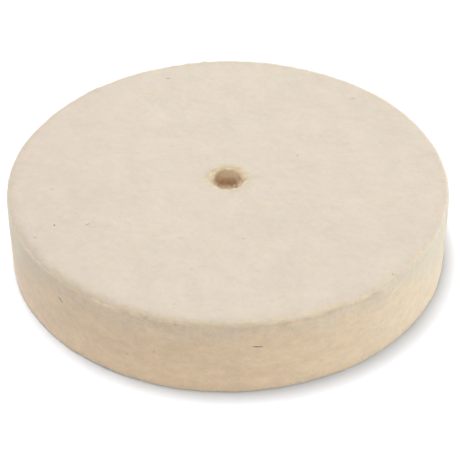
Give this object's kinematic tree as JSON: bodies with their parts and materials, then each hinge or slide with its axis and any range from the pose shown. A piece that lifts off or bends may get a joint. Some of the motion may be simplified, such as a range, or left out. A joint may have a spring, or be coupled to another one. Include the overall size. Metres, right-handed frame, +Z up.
{
  "type": "felt polishing wheel",
  "caption": "Solid disc of pressed wool felt with softly rounded rims and a plain central through bore, for polishing stones on a spindle.",
  "frame": {"origin": "centre of the bore on the lower face, on which the wheel lies", "axes": "+Z up, along the bore's axis, out of the upper face; X and Y lie in the lower face, and the wheel is round, so they have no preferred direction"},
  "size_m": [0.1016, 0.1016, 0.0191],
  "materials": {
    "wool_felt": "matt pressed wool, cream, with a fine fuzz"
  },
  "bodies": {
    "root": {"felt_disc": "wool_felt"}
  },
  "joints": []
}
